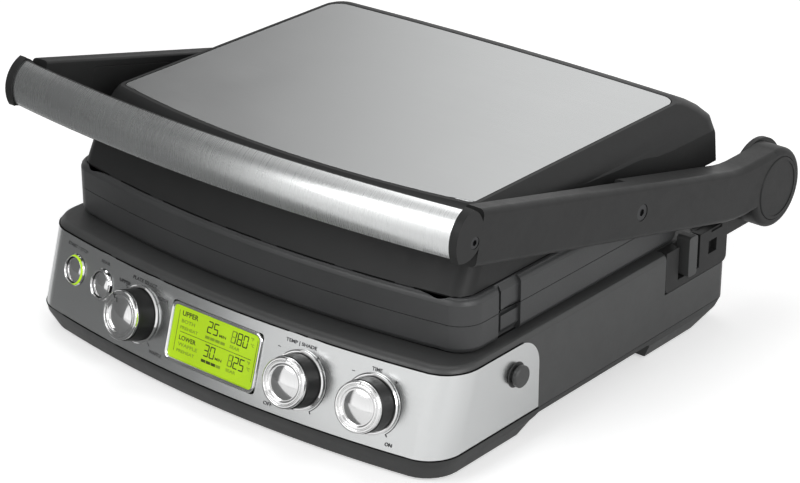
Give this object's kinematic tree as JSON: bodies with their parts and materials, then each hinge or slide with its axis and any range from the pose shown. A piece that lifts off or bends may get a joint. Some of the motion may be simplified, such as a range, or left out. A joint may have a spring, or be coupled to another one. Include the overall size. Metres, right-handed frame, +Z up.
{
  "type": "electric contact grill",
  "caption": "Electric contact grill: a wide base with a leaning steel control panel, and a lid with ribbed plates that floats between two side arms and opens flat on a rear hinge.",
  "frame": {"origin": "under the middle of the overall box, at table level", "axes": "+X to the user's right, +Y to the hinge at the back, +Z up"},
  "size_m": [0.3892, 0.4142, 0.1903],
  "materials": {
    "brushed_steel": "brushed stainless steel",
    "grey_plastic": "satin dark grey",
    "black_plastic": "satin black",
    "chrome": "polished",
    "spun_metal": "spun, satin",
    "rubber": "matt",
    "cast_plate": "cast, with a dark non-stick coat",
    "bright_sheet": "rolled sheet",
    "heater_steel": "oxidised",
    "hinge_steel": "plain",
    "green_board": "laminate",
    "display_glass": "clear, lit from behind",
    "white_plastic": "satin",
    "green_light": "lit ring"
  },
  "bodies": {
    "base": {"base_sled": "black_plastic", "rubber_feet": "rubber", "base_housing": "grey_plastic", "front_panel": "brushed_steel", "base_screws": "hinge_steel", "lower_reflector": "bright_sheet", "lower_heater": "heater_steel", "lower_thermostat": "bright_sheet", "lower_plate": "cast_plate", "power_board": "green_board", "cord_gland": "black_plastic", "display_bezel": "chrome", "display_window": "display_glass", "display_module": "white_plastic", "control_board": "green_board", "button_board": "green_board", "knob_collars": "chrome", "encoders": "hinge_steel", "button_collars": "chrome", "start_light_ring": "green_light", "release_collar": "black_plastic", "release_spring": "hinge_steel", "left_hinge_tower": "grey_plastic", "right_hinge_tower": "grey_plastic"},
    "yoke": {"left_arm": "grey_plastic", "right_arm": "grey_plastic", "arm_covers": "grey_plastic", "handle_bar": "brushed_steel", "handle_core": "grey_plastic", "handle_screws": "hinge_steel", "lid_pivots": "hinge_steel", "hinge_cap": "grey_plastic", "hinge_shafts": "hinge_steel", "hinge_springs": "hinge_steel"},
    "lid": {"lid_shell": "grey_plastic", "lid_cover_plate": "brushed_steel", "lid_inner_frame": "black_plastic", "upper_reflector": "bright_sheet", "upper_heater": "heater_steel", "upper_thermostat": "bright_sheet", "upper_plate": "cast_plate"},
    "hinge_button": {"hinge_release_button": "grey_plastic"},
    "upper_release": {"upper_release_button": "grey_plastic", "upper_plate_latch": "white_plastic"},
    "lower_release": {"lower_release_button": "grey_plastic", "lower_plate_latch": "white_plastic"},
    "select_control": {"select_knob": "black_plastic", "select_knob_cap": "spun_metal"},
    "temperature_control": {"temperature_knob": "black_plastic", "temperature_knob_cap": "spun_metal"},
    "time_control": {"time_knob": "black_plastic", "time_knob_cap": "spun_metal"},
    "start_control": {"start_button": "spun_metal"},
    "sear_control": {"sear_button": "spun_metal"},
    "lock": {"lid_lock": "grey_plastic"},
    "tray": {"drip_tray": "black_plastic"}
  },
  "joints": [
    {"name": "lid_hinge", "type": "hinge", "parent": "base", "child": "yoke", "pos_m": [0, 0.1716, 0.0901], "axis": [-1, 0, 0], "range_deg": [0, 176]},
    {"name": "lid_float", "type": "hinge", "parent": "yoke", "child": "lid", "pos_m": [0, 0.00776, 0.12813], "axis": [1, 0, 0], "range_deg": [0, 6]},
    {"name": "hinge_release_press", "type": "slide", "parent": "yoke", "child": "hinge_button", "axis": [-1, 0, 0], "range_m": [0, 0.003], "stiffness_N_per_m": 600},
    {"name": "upper_release_press", "type": "slide", "parent": "lid", "child": "upper_release", "axis": [1, 0, 0], "range_m": [0, 0.002], "stiffness_N_per_m": 600},
    {"name": "lower_release_press", "type": "slide", "parent": "base", "child": "lower_release", "axis": [-1, 0, 0], "range_m": [0, 0.002], "stiffness_N_per_m": 600, "deforming": ["release_spring"]},
    {"name": "select_turn", "type": "hinge", "parent": "base", "child": "select_control", "pos_m": [-0.0699, -0.18522, 0.0445], "axis": [0.0712, 0.9537, -0.2924], "range_deg": [0, 90]},
    {"name": "temperature_turn", "type": "hinge", "parent": "base", "child": "temperature_control", "pos_m": [0.0725, -0.18502, 0.0445], "axis": [-0.0738, 0.9535, -0.2924], "range_deg": [0, 300]},
    {"name": "time_turn", "type": "hinge", "parent": "base", "child": "time_control", "pos_m": [0.1272, -0.1789, 0.0445], "axis": [-0.1295, 0.9475, -0.2924], "range_deg": [0, 300]},
    {"name": "start_press", "type": "slide", "parent": "base", "child": "start_control", "axis": [0.1442, 0.9454, -0.2924], "range_m": [0, 0.0012], "stiffness_N_per_m": 600},
    {"name": "sear_press", "type": "slide", "parent": "base", "child": "sear_control", "axis": [0.1133, 0.9496, -0.2924], "range_m": [0, 0.0012], "stiffness_N_per_m": 600},
    {"name": "lid_lock_slide", "type": "slide", "parent": "base", "child": "lock", "axis": [0, 1, 0], "range_m": [0, 0.009]},
    {"name": "tray_pull", "type": "slide", "parent": "base", "child": "tray", "axis": [0, 1, 0], "range_m": [0, 0.04]}
  ],
  "couplings": [
    {"joint": "lid_float", "follows": "lid_hinge", "ratio": 0.03}
  ]
}
